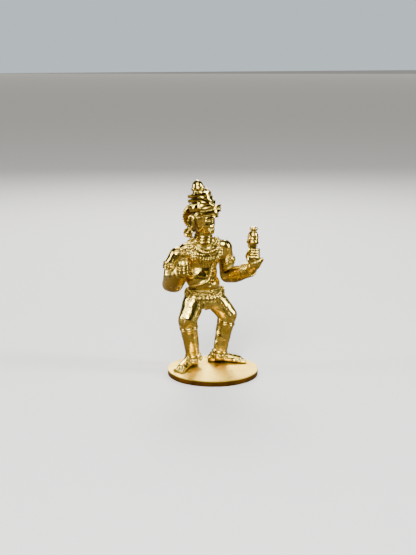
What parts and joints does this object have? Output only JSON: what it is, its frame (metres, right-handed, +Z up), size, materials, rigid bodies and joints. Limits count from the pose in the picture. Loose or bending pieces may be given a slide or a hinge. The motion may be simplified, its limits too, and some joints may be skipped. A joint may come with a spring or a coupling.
{
  "type": "brass deity figurine",
  "caption": "Small polished cast brass temple figure standing with bent knees on a round disc, tall crown, jewellery, a bell-shaped attribute raised in the left hand.",
  "frame": {"origin": "centre of the base disc's underside, on the surface that the figure stands on", "axes": "+Z up; the figure faces -Y; its right hand is on the -X side"},
  "size_m": [0.0302, 0.0292, 0.0619],
  "materials": {
    "figure": "hand-polished cast brass, bright on the swellings, darker in the recesses",
    "ornament": "cast and chased brass, polished on the ridges with dark tarnish left in the grooves",
    "disc": "filed and polished top, rougher cast edge with brown tarnish"
  },
  "bodies": {
    "root": {"base_disc": "disc", "right_foot": "figure", "left_foot": "figure", "right_anklet": "ornament", "left_anklet": "ornament", "right_shin": "figure", "left_shin": "figure", "right_hem": "ornament", "left_hem": "ornament", "right_thigh": "figure", "left_thigh": "figure", "hips": "figure", "front_flap": "ornament", "waist_belt": "ornament", "belt_fringe": "ornament", "right_hip_knot": "ornament", "left_hip_knot": "ornament", "torso": "figure", "sacred_thread": "ornament", "neck": "figure", "neck_rings": "ornament", "collar_necklace": "ornament", "necklace_pendants": "ornament", "right_shoulder_tassel": "ornament", "left_shoulder_tassel": "ornament", "head": "figure", "hair_bun": "ornament", "head_wheel": "ornament", "right_ear": "figure", "left_ear": "figure", "right_earring": "ornament", "left_earring": "ornament", "headband": "ornament", "headband_beads": "ornament", "crown": "ornament", "crown_loops": "ornament", "crown_finial": "ornament", "right_upper_arm": "figure", "left_upper_arm": "figure", "right_armlet": "ornament", "left_armlet": "ornament", "right_forearm": "figure", "left_forearm": "figure", "right_bracelets": "ornament", "left_bracelets": "ornament", "right_hand": "figure", "left_hand": "figure", "right_hand_bud": "ornament", "bell_stem": "ornament", "bell_body": "ornament", "bell_knob": "ornament"}
  },
  "joints": []
}
